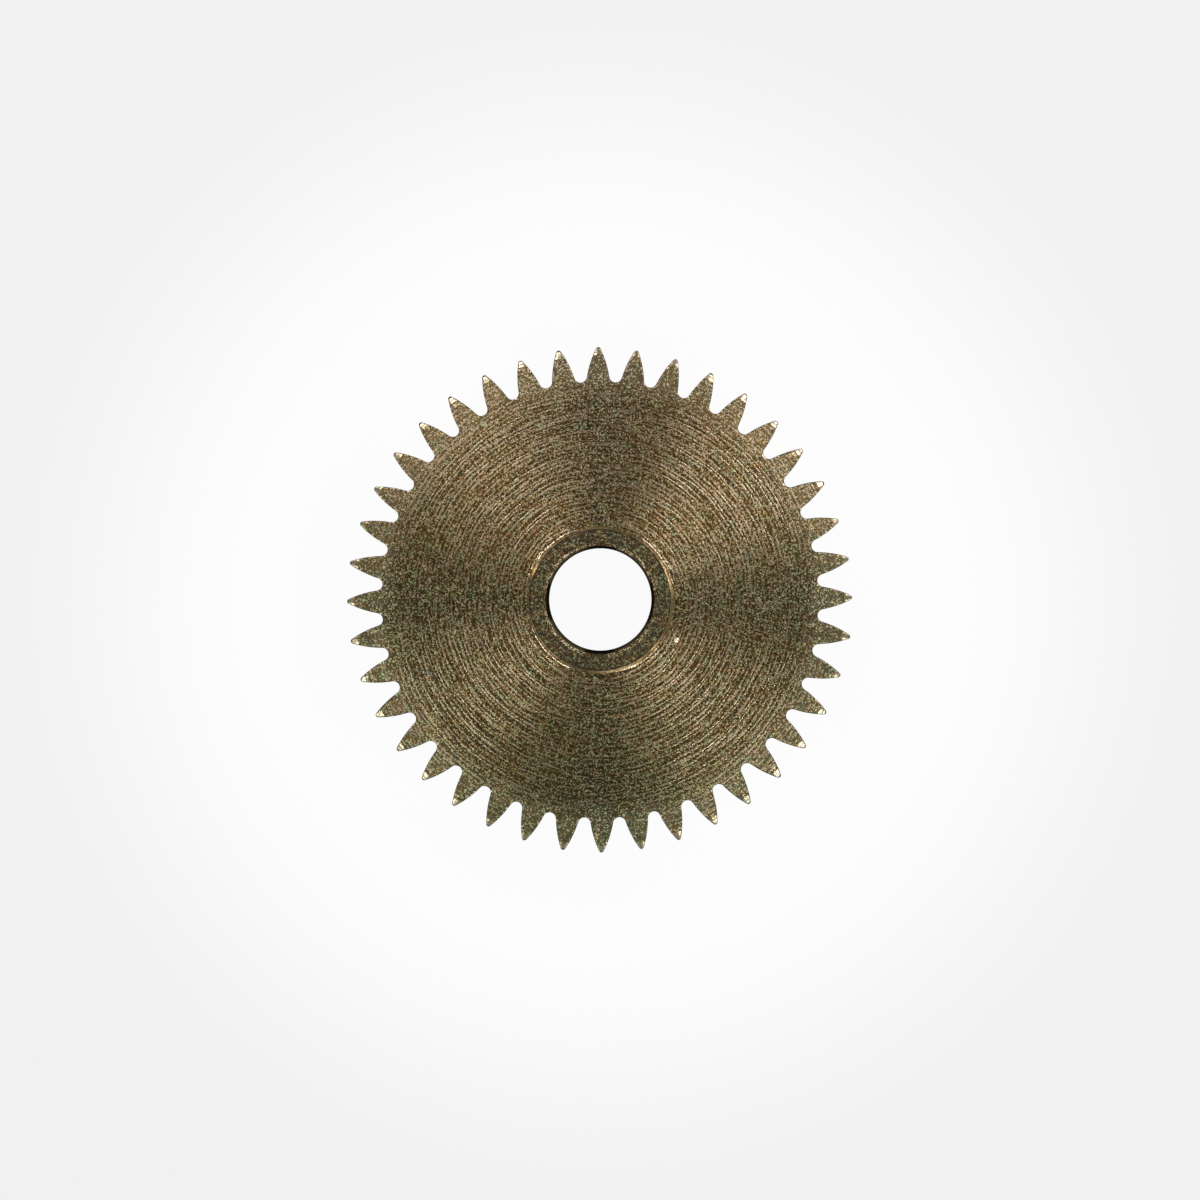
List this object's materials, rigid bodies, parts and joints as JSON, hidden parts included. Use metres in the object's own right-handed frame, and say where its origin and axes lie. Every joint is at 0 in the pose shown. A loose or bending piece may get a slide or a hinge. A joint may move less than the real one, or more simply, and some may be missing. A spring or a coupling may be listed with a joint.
{
  "type": "watch hour wheel",
  "caption": "Flat toothed hour wheel for a mechanical watch, riveted on a short hollow pipe that turns on the cannon pinion and carries the hour hand.",
  "frame": {"origin": "on the wheel's axis, at the free end of the pipe, which is the bottom of the part as it stands", "axes": "+Z along the wheel's axis from the pipe's free end to the movement-side face of the wheel, +X through the middle of a tooth"},
  "size_m": [0.0054, 0.0054, 0.0018],
  "materials": {
    "turned_brass": "aged brown brass with fine concentric turning marks",
    "burnished_brass": "smooth burnished brass with a dark green-grey tarnish"
  },
  "bodies": {
    "root": {"wheel_plate": "turned_brass", "hour_pipe": "burnished_brass"}
  },
  "joints": []
}
